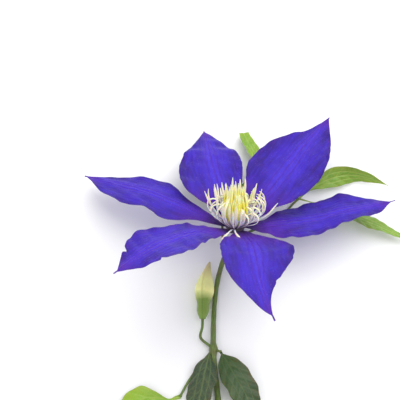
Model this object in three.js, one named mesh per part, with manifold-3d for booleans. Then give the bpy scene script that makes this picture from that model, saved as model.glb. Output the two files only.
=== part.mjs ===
// Clematis: one cut stem lying on a table, with its open bloom, a bud and two pairs of leaves.
//
// Millimetres, +Z up. The table is the lowest plane of the part. +Y runs from the cut end of the
// stem to the bloom, and the bloom leans back over that direction. Everything is laid out from the
// point on the table under the middle of the bloom, and the finished plant is then moved so that
// the origin is the middle of its footprint.

import * as THREE from "three";
import { mergeVertices } from "three/addons/utils/BufferGeometryUtils.js";
import Module from "manifold-3d";

const wasm = await Module();
wasm.setup();

// ---- Driving dimensions ------------------------------------------------------------------------

const GAP = 0.3; // clearance left where one piece grows out of another
const BLOOM_LEAN = 35; // degrees that the bloom's axis leans back from the vertical

const TEPAL_THICKNESS = 0.7;
const LEAF_THICKNESS = 0.6;
const EDGE_SHARE = 0.5; // of a blade's thickness, left at its margins
const LEAF_CUP = 0.06; // lift of a leaf's margins, as a share of its half width

const RECEPTACLE_RADIUS = 4.6;
const RECEPTACLE_RIM = 0.9; // half the height of its upright rim, where the tepals grow
const RECEPTACLE_DOME = 2.6; // height of the cone above the rim that carries the stamens
const RECEPTACLE_FOOT = 3.6; // depth of the funnel below the rim, down to the stalk

const PISTIL_RADIUS = 4.4;
const PISTIL_HEIGHT = 20.5;

const STAMEN_RADIUS = 0.4; // of the filament
const ANTHER_RADIUS = 0.6;
const ANTHER_TIP = 0.2;

const STEM_RADIUS = 1.5; // at the cut end
const STALK_RADIUS = 1.1; // where the stem meets the receptacle
const NODE_SWELLING = 0.8; // how far a leaf joint stands out from the stem
const NODE_LENGTH = 2.2; // half the length of a leaf joint
const PETIOLE_RADIUS = 0.75;
const PETIOLE_TAPER = 0.2; // share of its radius that a petiole loses along its length
const BLADE_LAP = 0.4; // how far a simple leaf's blade runs back into its petiole
const STRAIGHT_STALK = 4; // straight last stretch of a stalk, under the bloom and under the bud
const BUD_STALK_RADIUS = 0.7;
const BUD_RADIUS = 4.8;
const BUD_LENGTH = 30;

// Six tepals, named by where they lie round the bloom. Angles are in degrees: azimuth turns
// anticlockwise from +X seen from above, rise lifts the midrib off the plane of the bloom,
// swerve turns it sideways and roll turns the blade about it. left and right are the half widths,
// and cup lifts the margins. Each list runs evenly from the base to the tip.
const TEPALS = {
  tepal_right: {
    azimuth: 13,
    length: 78,
    rise: [-8, 0, 8, 2],
    swerve: [0],
    roll: [0],
    cup: 0.05,
    left: [0.8, 6, 12, 14, 15, 10.5, 0.2],
    right: [2, 10, 15, 12, 9.5, 8, 0.2],
  },
  tepal_back_right: {
    azimuth: 43,
    length: 80,
    rise: [26, 22, 20, 18],
    swerve: [0, 8, 10, 2],
    roll: [0],
    cup: 0.1,
    left: [2, 9, 17.5, 21, 17, 6, 0.2],
    right: [0.8, 9, 18, 20, 17.5, 10.5, 0.2],
  },
  tepal_back_left: {
    azimuth: 110,
    length: 70,
    rise: [30, 20, 6, -6],
    swerve: [0, -4, -14, -10],
    roll: [0],
    cup: 0.05,
    left: [1, 9, 18, 18, 14, 7, 0.2],
    right: [2, 8, 13, 15.5, 14.5, 8, 0.2],
  },
  tepal_left: {
    azimuth: 153,
    length: 83,
    rise: [6, 9, 0, -6],
    swerve: [0],
    roll: [0],
    cup: 0.05,
    left: [2, 7, 14, 13, 14, 9, 0.2],
    right: [0.8, 3.5, 8, 13, 11, 6, 0.2],
  },
  tepal_front_left: {
    azimuth: 226,
    length: 76,
    rise: [24, 20, 4, -12],
    swerve: [0],
    roll: [0],
    cup: 0.15,
    left: [2, 6, 9, 12.5, 13, 9, 0.2],
    right: [2, 5, 8, 9.5, 13, 9, 0.2],
  },
  tepal_front: {
    azimuth: 295,
    length: 62.5,
    rise: [12, 6, -14, -34],
    swerve: [0, -18, -18, 0],
    roll: [-6, -8, -6, 0],
    cup: 0.2,
    left: [2, 7.5, 18, 17, 10.5, 3.5, 0.2],
    right: [2, 10, 16, 17, 15, 8, 0.2],
  },
};

// Three whorls of stamens. lean is the angle from the bloom's axis at the base, halfway and the
// tip, and foot is the radius on the receptacle at which a filament starts.
const WHORLS = [
  { name: "outer", count: 14, foot: 4, length: 22, lean: [52, 38, 6], turn: 0 },
  { name: "middle", count: 12, foot: 3, length: 22.5, lean: [34, 22, 4], turn: 9 },
  { name: "inner", count: 10, foot: 2.4, length: 22, lean: [24, 9, 0], turn: 18 },
];

// Where the stem rests, from the upper leaf joint to the cut end, measured from under the bloom.
const UPPER_NODE = [-4, -7, 11];
const STEM_LANDING = [-9, -22, 3];
const LOWER_NODE = [-11, -56, 2.4];
const STEM_RUN = [-8.5, -84, 1.7];
const CUT_END = [-7, -114, 1.5];

// Half widths of a leaf blade as a share of its widest half width, from its stalk to its tip.
const LEAF_OUTLINE = [0.08, 0.09, 0.62, 0.95, 1, 0.88, 0.64, 0.34, 0.03];
const BLUNT_OUTLINE = [0.08, 0.2, 0.7, 0.95, 1, 1, 1, 0.98, 0.7];
const BROAD_OUTLINE = [0.08, 0.6, 0.9, 1, 0.96, 0.84, 0.62, 0.34, 0.03];

// Leaves made of leaflets on a petiole. joint is where the petiole grows, and via and end are
// points that it passes on its way along the table. A leaflet grows at a share of the petiole's
// length, which is its end when no share is given, and lift raises its foot off the petiole.
const COMPOUND_LEAVES = {
  leaf_right: {
    joint: UPPER_NODE,
    via: [[7, 5, 6], [22, 13, 3]],
    end: [35, 26, 3.2],
    leaflets: [
      {
        azimuth: 38, length: 50, rise: [8, 6, -4, -8],
        swerve: [0, -14, -44, -66], roll: [0, 12, 56, 56], half: 5.2,
      },
      {
        azimuth: -20, length: 62, rise: [12, 2, -4, -6],
        swerve: [0, -2, -4, -4], roll: [-6, -30, -34, -24], half: 6,
      },
      {
        azimuth: 142, length: 47, rise: [10, 6, -6, -8],
        swerve: [0, -8, -24, -32], roll: [0, 10, 30, 20], half: 4.2, outline: BLUNT_OUTLINE,
      },
    ],
  },
  leaf_left: {
    joint: UPPER_NODE,
    via: [[-6, 6, 5], [-5, 15, 3]],
    end: [-1, 23, 3],
    leaflets: [
      {
        azimuth: 102, length: 38, rise: [10, 4, -6, -10],
        swerve: [0, 2, 4, 4], roll: [0, 8, 8, 4], half: 8,
      },
      {
        azimuth: 150, length: 28, rise: [10, 4, -8, -10],
        swerve: [0, -2, -2, -2], roll: [0, 0, 0, 0], half: 7,
      },
      {
        azimuth: 24, length: 26, rise: [12, 4, -10, -14],
        swerve: [0, 10, 16, 20], roll: [0, 0, 0, 0], half: 7,
      },
    ],
  },
  leaf_lower: {
    joint: LOWER_NODE,
    via: [[-17, -63, 2], [-23.5, -72, 1.6]],
    end: [-27.5, -79.5, 2.4],
    leaflets: [
      {
        azimuth: 200, length: 38, rise: [12, 6, -6, -12],
        swerve: [0, 4, 12, 18], roll: [0, 6, 6, 0], half: 12,
      },
      {
        share: 0.08, lift: 1.5, azimuth: 256, length: 44, rise: [24, 6, -10, -14],
        swerve: [0, 3, 0, 4], roll: [0, 36, 30, 10], half: 8, outline: BROAD_OUTLINE,
      },
    ],
  },
};

// At the lower joint the right leaf is simple: its blade and its short petiole are one piece.
const SIMPLE_LEAVES = {
  leaf_lower_right: {
    via: [],
    end: [-7.4, -57.6, 4.6],
    blade: {
      azimuth: -64, length: 42, rise: [24, 4, -10, -14],
      swerve: [0, 4, 0, -4], roll: [0, -12, -12, -4], half: 7.8, outline: BROAD_OUTLINE,
    },
  },
};

const BUD_FOOT = [-16.4, -41.2, 6];
const BUD_STALK_VIA = [[-17.4, -50, 2.8]];
const BUD_AZIMUTH = 88;
const BUD_SWERVE = [0, -4, -14];
const BUD_RISE = 4;
// Radius of the bud as a share of its widest, from its foot to its tip.
const BUD_OUTLINE = [0.3, 0.6, 0.62, 0.86, 1, 0.86, 0.6, 0.34, 0.08];

const UP = new THREE.Vector3(0, 0, 1);
const radians = THREE.MathUtils.degToRad;
const vector = (place) => new THREE.Vector3(...place);

// ---- Growth: how every organ's midline runs ----------------------------------------------------

// The value at a share of the way along a list of evenly spaced values, on a smooth curve.
function along(values, share) {
  if (values.length === 1) return values[0];
  const place = THREE.MathUtils.clamp(share, 0, 1) * (values.length - 1);
  const i = Math.min(Math.floor(place), values.length - 2);
  const before = values[i - 1] ?? 2 * values[i] - values[i + 1];
  const after = values[i + 2] ?? 2 * values[i + 1] - values[i];
  const f = place - i;
  const bend = 2 * before - 5 * values[i] + 4 * values[i + 1] - after;
  const twist = 3 * values[i] - before - 3 * values[i + 1] + after;
  return values[i] + 0.5 * f * (values[i + 1] - before + f * (bend + f * twist));
}

// The directions of a blade that heads along azimuth and rise, in radians, and is rolled.
function heading(azimuth, rise, roll) {
  const flat = Math.cos(rise);
  const ahead = new THREE.Vector3(flat * Math.cos(azimuth), flat * Math.sin(azimuth), Math.sin(rise));
  const left = new THREE.Vector3(-Math.sin(azimuth), Math.cos(azimuth), 0).applyAxisAngle(ahead, roll);
  return { ahead, left, up: new THREE.Vector3().crossVectors(ahead, left) };
}

// Frames along a midline that starts at a point and turns as the lists of angles say.
function grow(start, { azimuth, length, rise = [0], swerve = [0], roll = [0] }, rows) {
  const steps = 4; // between one row and the next
  const at = start.clone();
  const frames = [];
  for (let step = 0; step <= rows * steps; step++) {
    const share = step / (rows * steps);
    const way = heading(
      radians(azimuth + along(swerve, share)),
      radians(along(rise, share)),
      radians(along(roll, share)),
    );
    if (step % steps === 0) frames.push({ ...way, at: at.clone(), share });
    at.addScaledVector(way.ahead, length / (rows * steps));
  }
  return frames;
}

// Frames along a smooth curve through points.
function follow(points, rows) {
  const curve = new THREE.CatmullRomCurve3(points, false, "centripetal");
  return Array.from({ length: rows + 1 }, (_, row) => {
    const share = row / rows;
    const ahead = curve.getTangentAt(share);
    const left = new THREE.Vector3().crossVectors(UP, ahead).normalize();
    return {
      at: curve.getPointAt(share),
      ahead,
      left,
      up: new THREE.Vector3().crossVectors(ahead, left),
      share,
    };
  });
}

// ---- Solids ------------------------------------------------------------------------------------

// Moves each vertex of a geometry, and leaves only its closed, merged surface.
function reshape(geometry, move) {
  const position = geometry.getAttribute("position");
  const v = new THREE.Vector3();
  for (let i = 0; i < position.count; i++) {
    move(v.fromBufferAttribute(position, i));
    position.setXYZ(i, v.x, v.y, v.z);
  }
  geometry.deleteAttribute("normal");
  geometry.deleteAttribute("uv");
  const closed = mergeVertices(geometry, 1e-4);
  closed.computeVertexNormals();
  return closed;
}

const CUP_POWER = 1.6; // how sharply a blade's cup turns up towards its margins

// A thin leaf or tepal: a flat box, bent along its frames. left and right give the half widths.
function blade(frames, left, right, cup, thickness, across) {
  const rows = frames.length - 1;
  return reshape(new THREE.BoxGeometry(2, 1, 1, across, rows, 1), (v) => {
    const frame = frames[Math.round((v.y + 0.5) * rows)];
    const side = v.x;
    const half = along(side > 0 ? right : left, frame.share);
    const thin = 1 - (1 - EDGE_SHARE) * side * side;
    const lift = cup * half * Math.abs(side) ** CUP_POWER + v.z * thickness * thin;
    v.copy(frame.at).addScaledVector(frame.left, -side * half).addScaledVector(frame.up, lift);
  });
}

// A round stalk, filament or bud: a lathed rod, bent along its frames. radius(share) is its size.
function shoot(frames, radius, sides) {
  const rows = frames.length - 1;
  const profile = frames.map((frame, row) => new THREE.Vector2(radius(frame.share), row));
  const rod = [new THREE.Vector2(0, 0), ...profile, new THREE.Vector2(0, rows)];
  return reshape(new THREE.LatheGeometry(rod, sides), (v) => {
    const frame = frames[Math.round(v.y)];
    const { x, z } = v;
    v.copy(frame.at).addScaledVector(frame.left, -x).addScaledVector(frame.up, z);
  });
}

// One solid out of two that overlap.
function joined(a, b) {
  const solids = [a, b].map(
    (geometry) =>
      new wasm.Manifold(
        new wasm.Mesh({
          numProp: 3,
          vertProperties: geometry.getAttribute("position").array,
          triVerts: new Uint32Array(geometry.index.array),
        }),
      ),
  );
  const mesh = solids[0].add(solids[1]).getMesh();
  const geometry = new THREE.BufferGeometry();
  geometry.setAttribute("position", new THREE.BufferAttribute(mesh.vertProperties, 3));
  geometry.setIndex(new THREE.BufferAttribute(mesh.triVerts, 1));
  geometry.computeVertexNormals();
  return geometry;
}

// ---- Materials ---------------------------------------------------------------------------------

const plain = (color, roughness) => new THREE.MeshStandardMaterial({ color, roughness, metalness: 0 });
const VIOLET = plain(0x4a2fc4, 0.55);
const CREAM = plain(0xeee9cf, 0.6);
const YELLOW = plain(0xd9d86a, 0.6);
const LEAF_GREEN = plain(0x6f9a35, 0.5);
const STEM_GREEN = plain(0x5f7a3a, 0.55);
const BUD_GREEN = plain(0xc6cc63, 0.5);

function piece(name, geometry, material) {
  const mesh = new THREE.Mesh(geometry, material);
  mesh.name = name;
  return mesh;
}

// ---- The bloom, in its own frame: +Z along its axis, origin in the middle of the receptacle ----

const TEPAL_ROWS = 16;
const TEPAL_ACROSS = 6;
const STAMEN_ROWS = 7;
const STAMEN_SIDES = 5;
const ROUND_SIDES = 12;

// Height of the receptacle's cone at a radius, over the middle of the rim.
const coneHeight = (radius) => RECEPTACLE_RIM + RECEPTACLE_DOME * (1 - radius / RECEPTACLE_RADIUS);

function receptacle() {
  const outline = [
    [0, -RECEPTACLE_RIM - RECEPTACLE_FOOT],
    [STALK_RADIUS, -RECEPTACLE_RIM - RECEPTACLE_FOOT],
    [1.6 * STALK_RADIUS, -RECEPTACLE_RIM - 0.5 * RECEPTACLE_FOOT],
    [RECEPTACLE_RADIUS, -RECEPTACLE_RIM],
    [RECEPTACLE_RADIUS, coneHeight(RECEPTACLE_RADIUS)],
    [0, coneHeight(0)],
  ];
  const lathe = new THREE.LatheGeometry(outline.map(([r, z]) => new THREE.Vector2(r, z)), ROUND_SIDES);
  return piece("receptacle", reshape(lathe.rotateX(Math.PI / 2), () => {}), STEM_GREEN);
}

// The bundle of styles stands on the tip of the cone.
function pistil() {
  const foot = 0.3 * PISTIL_RADIUS;
  const outline = [
    [0, 0],
    [foot, 0],
    [0.8 * PISTIL_RADIUS, 0.22 * PISTIL_HEIGHT],
    [PISTIL_RADIUS, 0.45 * PISTIL_HEIGHT],
    [0.86 * PISTIL_RADIUS, 0.7 * PISTIL_HEIGHT],
    [0.5 * PISTIL_RADIUS, 0.9 * PISTIL_HEIGHT],
    [0.15 * PISTIL_RADIUS, PISTIL_HEIGHT],
    [0, PISTIL_HEIGHT],
  ];
  const lathe = new THREE.LatheGeometry(outline.map(([r, z]) => new THREE.Vector2(r, z)), ROUND_SIDES);
  const mesh = piece("pistil", reshape(lathe.rotateX(Math.PI / 2), () => {}), YELLOW);
  mesh.position.z = coneHeight(0) + GAP;
  return mesh;
}

function tepal(name, shape) {
  const out = RECEPTACLE_RADIUS + GAP;
  const turn = radians(shape.azimuth);
  const start = new THREE.Vector3(out * Math.cos(turn), out * Math.sin(turn), 0);
  const frames = grow(start, shape, TEPAL_ROWS);
  return piece(
    name,
    blade(frames, shape.left, shape.right, shape.cup, TEPAL_THICKNESS, TEPAL_ACROSS),
    VIOLET,
  );
}

// A filament that thickens into its anther over the last two fifths.
function stamen(name, whorl, azimuth) {
  const rise = whorl.lean.map((lean) => 90 - lean);
  const lean = radians(whorl.lean[0]);
  const turn = radians(azimuth);
  const lift = GAP + STAMEN_RADIUS * (Math.sin(lean) + RECEPTACLE_DOME / RECEPTACLE_RADIUS);
  const start = new THREE.Vector3(
    whorl.foot * Math.cos(turn),
    whorl.foot * Math.sin(turn),
    coneHeight(whorl.foot) + lift,
  );
  const frames = grow(start, { azimuth, length: whorl.length, rise }, STAMEN_ROWS);
  const filament = [STAMEN_RADIUS, STAMEN_RADIUS, STAMEN_RADIUS];
  const radii = [...filament, ANTHER_RADIUS, ANTHER_RADIUS, ANTHER_TIP];
  return piece(name, shoot(frames, (share) => along(radii, share), STAMEN_SIDES), CREAM);
}

function bloom() {
  const group = new THREE.Group();
  group.add(receptacle(), pistil());
  for (const [name, shape] of Object.entries(TEPALS)) group.add(tepal(name, shape));
  for (const whorl of WHORLS)
    for (let i = 0; i < whorl.count; i++) {
      const number = String(i + 1).padStart(2, "0");
      const azimuth = whorl.turn + (360 * i) / whorl.count;
      group.add(stamen("stamen_" + whorl.name + "_" + number, whorl, azimuth));
    }
  group.rotation.x = -radians(BLOOM_LEAN);
  return group;
}

// ---- The stem, its leaves and its bud ----------------------------------------------------------

const STEM_ROWS = 52;
const STEM_SIDES = 7;
const PETIOLE_ROWS = 12;
const PETIOLE_SIDES = 6;
const LEAF_ROWS = 12;
const LEAF_ACROSS = 4;
const BUD_ROWS = 12;
const BUD_SIDES = 10;

// The stem runs from its cut end to just under the receptacle, thickened at its two leaf joints.
function stem(top, axis) {
  const points = [
    vector(CUT_END),
    vector(STEM_RUN),
    vector(LOWER_NODE),
    vector(STEM_LANDING),
    vector(UPPER_NODE),
    top.clone().addScaledVector(axis, -STRAIGHT_STALK),
    top,
  ];
  const frames = follow(points, STEM_ROWS);
  const nodes = [vector(LOWER_NODE), vector(UPPER_NODE)];
  const nearest = (share) => frames[Math.round(share * STEM_ROWS)].at;
  const radius = (share) => {
    const bare = THREE.MathUtils.lerp(STEM_RADIUS, STALK_RADIUS, share);
    const from = Math.min(...nodes.map((node) => node.distanceTo(nearest(share))));
    return bare + NODE_SWELLING * Math.exp(-((from / NODE_LENGTH) ** 2));
  };
  return piece("stem", shoot(frames, radius, STEM_SIDES), STEM_GREEN);
}

// Points of a stalk that leaves a joint of the stem towards its first via point.
function stalkPoints(node, via, end) {
  const clear = STEM_RADIUS + NODE_SWELLING + PETIOLE_RADIUS + 2 * GAP;
  const first = vector(via[0] ?? end);
  const out = first.clone().sub(node).normalize();
  return [node.clone().addScaledVector(out, clear), ...via.map(vector), vector(end)];
}

function leafBlade(start, shape) {
  const frames = grow(start, shape, LEAF_ROWS);
  const half = (shape.outline ?? LEAF_OUTLINE).map((share) => share * shape.half);
  return blade(frames, half, half, LEAF_CUP, LEAF_THICKNESS, LEAF_ACROSS);
}

function compoundLeaf(name, { joint, via, end, leaflets }) {
  const group = new THREE.Group();
  const frames = follow(stalkPoints(vector(joint), via, end), PETIOLE_ROWS);
  const radius = (share) => PETIOLE_RADIUS * (1 - PETIOLE_TAPER * share);
  group.add(piece(name + "_petiole", shoot(frames, radius, PETIOLE_SIDES), STEM_GREEN));
  leaflets.forEach((shape, i) => {
    const turn = radians(shape.azimuth);
    const clear = 2 * PETIOLE_RADIUS + 2 * GAP;
    const out = new THREE.Vector3(Math.cos(turn), Math.sin(turn), 0).multiplyScalar(clear);
    const foot = frames[Math.round((shape.share ?? 1) * PETIOLE_ROWS)].at;
    const start = foot.clone().add(out).addScaledVector(UP, shape.lift ?? 0);
    group.add(piece(name + "_leaflet_" + (i + 1), leafBlade(start, shape), LEAF_GREEN));
  });
  return group;
}

function simpleLeaf(name, node, { via, end, blade: shape }) {
  const points = stalkPoints(node, via, end);
  const frames = follow(points, PETIOLE_ROWS);
  const radius = (share) => PETIOLE_RADIUS * (1 - PETIOLE_TAPER * share);
  const petiole = shoot(frames, radius, PETIOLE_SIDES);
  const last = frames[PETIOLE_ROWS];
  const start = last.at.clone().addScaledVector(last.ahead, -BLADE_LAP);
  return piece(name, joined(petiole, leafBlade(start, shape)), LEAF_GREEN);
}

function bud() {
  const group = new THREE.Group();
  const shape = { azimuth: BUD_AZIMUTH, length: BUD_LENGTH, rise: [BUD_RISE], swerve: BUD_SWERVE };
  const frames = grow(vector(BUD_FOOT), shape, BUD_ROWS);
  const radius = (share) => BUD_RADIUS * along(BUD_OUTLINE, share);
  group.add(piece("bud", shoot(frames, radius, BUD_SIDES), BUD_GREEN));
  const node = vector(LOWER_NODE);
  const meet = vector(BUD_FOOT).addScaledVector(frames[0].ahead, -GAP);
  const before = vector(BUD_FOOT).addScaledVector(frames[0].ahead, -STRAIGHT_STALK);
  const points = [...stalkPoints(node, BUD_STALK_VIA, before.toArray()), meet];
  const stalk = shoot(follow(points, PETIOLE_ROWS), () => BUD_STALK_RADIUS, PETIOLE_SIDES);
  group.add(piece("bud_stalk", stalk, STEM_GREEN));
  return group;
}

// ---- The plant ---------------------------------------------------------------------------------

const plant = new THREE.Group();
const flower = bloom();

// The bloom stands as high as its lowest tepal tip needs to touch the table.
flower.position.z = -new THREE.Box3().setFromObject(flower, true).min.z;
plant.add(flower);

const axis = new THREE.Vector3(0, 0, 1).applyEuler(flower.rotation);
const footOfBloom = -RECEPTACLE_RIM - RECEPTACLE_FOOT - GAP;
const top = flower.position.clone().addScaledVector(axis, footOfBloom);
plant.add(stem(top, axis), bud());
for (const [name, leaf] of Object.entries(COMPOUND_LEAVES)) {
  plant.add(compoundLeaf(name, leaf));
}
for (const [name, leaf] of Object.entries(SIMPLE_LEAVES)) {
  plant.add(simpleLeaf(name, vector(LOWER_NODE), leaf));
}

const box = new THREE.Box3().setFromObject(plant, true);
const middle = box.getCenter(new THREE.Vector3());
plant.position.set(-middle.x, -middle.y, -box.min.z);

export default plant;
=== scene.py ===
import math

import bpy
import numpy as np
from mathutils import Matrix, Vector


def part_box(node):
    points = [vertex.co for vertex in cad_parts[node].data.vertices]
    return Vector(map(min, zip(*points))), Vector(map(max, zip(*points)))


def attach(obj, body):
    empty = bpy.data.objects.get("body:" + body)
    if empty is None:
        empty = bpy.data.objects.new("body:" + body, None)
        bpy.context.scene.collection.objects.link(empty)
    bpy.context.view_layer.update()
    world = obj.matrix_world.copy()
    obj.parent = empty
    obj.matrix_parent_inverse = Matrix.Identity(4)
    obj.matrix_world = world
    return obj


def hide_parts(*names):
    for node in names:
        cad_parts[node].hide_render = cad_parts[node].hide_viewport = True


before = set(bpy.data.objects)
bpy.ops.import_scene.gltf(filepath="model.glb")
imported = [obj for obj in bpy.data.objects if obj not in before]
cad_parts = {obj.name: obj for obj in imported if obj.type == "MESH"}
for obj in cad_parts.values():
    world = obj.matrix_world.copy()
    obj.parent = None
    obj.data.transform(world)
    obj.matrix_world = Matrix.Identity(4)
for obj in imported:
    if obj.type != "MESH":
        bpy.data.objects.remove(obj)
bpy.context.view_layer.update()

# ---- The stem ----------------------------------------------------------------------------------
# One green shoot, cut from the plant with a knife and laid on a table. It grew as one piece, ribbed
# along its length, and it swells at the two joints where leaves leave it in pairs. Its last stretch
# rises off the table and carries the bloom, which leans back from it.

MM = 0.001
UP = np.array([0.0, 0.0, 1.0])
BLOOM_LEAN = math.radians(35)
RECEPTACLE_RADIUS = 4.6
RECEPTACLE_RIM = 0.9
RECEPTACLE_FOOT = 3.6
STEM_RADIUS = 1.5
STALK_RADIUS = 1.1
NODE_SWELLING = 0.8
NODE_LENGTH = 2.2
UPPER_NODE = [-4, -7, 11]
STEM_LANDING = [-9, -22, 3]
LOWER_NODE = [-11, -56, 2.4]
STEM_RUN = [-8.5, -84, 1.7]
CUT_END = [-7, -114, 1.5]
STEM_RIBS = 6
STEM_ROWS = 420
STEM_SIDES = 36
STRAIGHT_STALK = 4
ROOTED = 0.8

# The middle of the bloom, read from the receptacle that stands there, and the table below it.
rim_low, rim_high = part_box("receptacle")
rim_reach = RECEPTACLE_RADIUS * math.sin(BLOOM_LEAN) + RECEPTACLE_RIM * math.cos(BLOOM_LEAN)
bloom_middle = np.array([
    (rim_low.x + rim_high.x) / 2,
    (rim_low.y + rim_high.y) / 2,
    rim_high.z - rim_reach * MM,
])
below_bloom = bloom_middle * [1, 1, 0]
bloom_axis = np.array([0, math.sin(BLOOM_LEAN), math.cos(BLOOM_LEAN)])


def unit(v):
    return v / np.linalg.norm(v, axis=-1, keepdims=True)


def follow(points, rows):
    """Frames along a smooth curve through points, evenly spaced, from the first to the last."""
    points = np.asarray(points, float)
    held = np.vstack([2 * points[0] - points[1], points, 2 * points[-1] - points[-2]])
    dense = []
    for p0, p1, p2, p3 in zip(held, held[1:], held[2:], held[3:]):
        d0, d1, d2 = (math.sqrt(np.linalg.norm(b - a)) for a, b in ((p0, p1), (p1, p2), (p2, p3)))
        t1 = d1 * ((p1 - p0) / d0 - (p2 - p0) / (d0 + d1)) + p2 - p1
        t2 = d1 * ((p3 - p2) / d2 - (p3 - p1) / (d1 + d2)) + p2 - p1
        f = np.linspace(0, 1, 60, endpoint=False)[:, None]
        dense.append(
            p1 * (1 + f * f * (2 * f - 3)) + p2 * f * f * (3 - 2 * f)
            + t1 * f * (1 - f) ** 2 - t2 * f * f * (1 - f)
        )
    dense = np.vstack([*dense, points[-1:]])
    run = np.concatenate([[0], np.cumsum(np.linalg.norm(np.diff(dense, axis=0), axis=1))])
    share = np.arange(rows + 1) / rows
    at = np.stack([np.interp(share * run[-1], run, dense[:, k]) for k in range(3)], 1)
    ahead = unit(np.gradient(at, axis=0))
    left = unit(np.cross(UP, ahead))
    return {"at": at, "ahead": ahead, "left": left, "up": np.cross(ahead, left), "share": share,
            "length": run[-1]}


def grid_faces(rows, columns, offset=0, closed=False):
    """Four-cornered faces between the points of a grid, numbered row by row."""
    r, c = np.meshgrid(np.arange(rows), np.arange(columns if closed else columns - 1), indexing="ij")
    n = (c + 1) % columns
    corners = [r * columns + c, r * columns + n, (r + 1) * columns + n, (r + 1) * columns + c]
    return np.stack(corners, -1).reshape(-1, 4) + offset


def make_piece(name, points, faces, finish, slot, nodes, **facts):
    """A smooth piece on the frame's one body. facts are values that its finish reads."""
    mesh = bpy.data.meshes.new(name)
    mesh.from_pydata(points.tolist(), [], [list(map(int, face)) for face in faces])
    mesh.shade_smooth()
    for fact, values in facts.items():
        kind = "FLOAT_VECTOR" if values.ndim == 2 else "FLOAT"
        held = mesh.attributes.new(fact, kind, "POINT")
        held.data.foreach_set("vector" if values.ndim == 2 else "value", values.ravel())
    mesh.materials.append(finish)
    piece = bpy.data.objects.new(name, mesh)
    bpy.context.scene.collection.objects.link(piece)
    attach(piece, "root")
    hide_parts(*nodes)
    return piece


def rod(frames, wide, thick=None, sides=12):
    """Points, faces and facts of a rod round its frames. wide and thick are half sizes across."""
    thick = wide if thick is None else thick
    rows = len(frames["share"])
    turn = np.arange(sides) * 2 * math.pi / sides
    wide, thick = (np.reshape(size, (rows, -1, 1)) for size in (wide, thick))
    ring = (
        frames["at"][:, None]
        + frames["left"][:, None] * wide * np.cos(turn)[:, None]
        + frames["up"][:, None] * thick * np.sin(turn)[:, None]
    )
    points = np.vstack([ring.reshape(-1, 3), frames["at"][:1], frames["at"][-1:]])
    sidewall = grid_faces(rows - 1, sides, closed=True)
    first, last = rows * sides, rows * sides + 1
    around = np.arange(sides)
    after = (around + 1) % sides
    start = [(first, b, a) for a, b in zip(around, after)]
    end = [(last, a, b) for a, b in zip(around + (rows - 1) * sides, after + (rows - 1) * sides)]
    share = np.append(np.repeat(frames["share"], sides), [0, 1])
    angle = np.append(np.tile(turn, rows), [0, 0])
    along = np.stack([angle, share * frames["length"], share], 1)
    return points, [*sidewall, *start, *end], along


def on_table(frames):
    """The same frames, from millimetres round the place below the bloom to the part's own metres."""
    return {**frames, "at": frames["at"] * MM + below_bloom}


def new_finish(name, roughness, **sockets):
    """A new finish and its shader, with the sockets that are the same all over."""
    finish = bpy.data.materials.new(name)
    finish.use_nodes = True
    shader = finish.node_tree.nodes["Principled BSDF"]
    shader.inputs["Roughness"].default_value = roughness
    for socket, value in sockets.items():
        shader.inputs[socket.replace("_", " ")].default_value = value
    return finish, shader


def add(finish, kind, inputs=(), **settings):
    """A node in a finish. inputs are its values or the outputs that feed it."""
    node = finish.node_tree.nodes.new("ShaderNode" + kind)
    for setting, value in settings.items():
        setattr(node, setting, value)
    for socket, value in dict(inputs).items():
        if isinstance(value, bpy.types.NodeSocket):
            finish.node_tree.links.new(value, node.inputs[socket])
        else:
            node.inputs[socket].default_value = value
    return node


def math_of(finish, operation, a, b=0.0):
    return add(finish, "Math", {0: a, 1: b}, operation=operation).outputs[0]


def blended(finish, amount, a, b):
    """Colour a turning into colour b as amount goes from 0 to 1."""
    mix = add(finish, "Mix", {0: amount, 6: a, 7: b}, data_type="RGBA")
    return mix.outputs[2]


def tinted(finish, colour, amount, most, tint):
    """The colour, blended towards tint by as much as most where amount is 1."""
    return blended(finish, math_of(finish, "MULTIPLY", amount, most), colour, tint)


def fact(finish, name):
    """The three numbers of a fact that a piece's points hold."""
    whole = add(finish, "Attribute", attribute_name=name).outputs["Vector"]
    return add(finish, "SeparateXYZ", {0: whole}).outputs


def noise(finish, where, scale, detail=4.0, roughness=0.55):
    made = add(finish, "TexNoise", {"Vector": where, "Scale": scale, "Detail": detail,
                                    "Roughness": roughness})
    return made.outputs[0]


def between(finish, value, low, high):
    """value, spread so that low gives 0 and high gives 1."""
    spread = add(finish, "MapRange", {0: value, 1: low, 2: high})
    return spread.outputs[0]


def bumpy(finish, shader, height, strength, distance):
    bump = add(finish, "Bump", {"Height": height, "Strength": strength, "Distance": distance})
    finish.node_tree.links.new(bump.outputs[0], shader.inputs["Normal"])


def paint(finish, shader, colour):
    finish.node_tree.links.new(colour, shader.inputs["Base Color"])


def stalk_finish(name, sunny, shaded, blush, blush_share):
    """Skin in fine lengthwise streaks of two shades, with a blush in patches and a fine grain."""
    finish, shader = new_finish(name, 0.5, Specular_IOR_Level=0.4, Subsurface_Weight=0.12,
                                Subsurface_Scale=0.001)
    angle, along, _ = fact(finish, "rod")
    place = add(finish, "TexCoord").outputs["Object"]
    lengthwise = add(finish, "CombineXYZ", {
        0: math_of(finish, "SINE", angle),
        1: math_of(finish, "COSINE", angle),
        2: math_of(finish, "MULTIPLY", along, 0.08),
    })
    streaks = noise(finish, lengthwise.outputs[0], 5.0, 6.0)
    patches = noise(finish, place, 90.0, 3.0)
    green = blended(finish, between(finish, streaks, 0.35, 0.65), shaded, sunny)
    paint(finish, shader, tinted(finish, green, between(finish, patches, 0.45, 0.62), blush_share, blush))
    fine = noise(finish, place, 2200.0, 4.0)
    height = math_of(finish, "ADD", streaks, math_of(finish, "MULTIPLY", fine, 0.5))
    bumpy(finish, shader, height, 0.5, 0.0002)
    return finish


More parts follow.
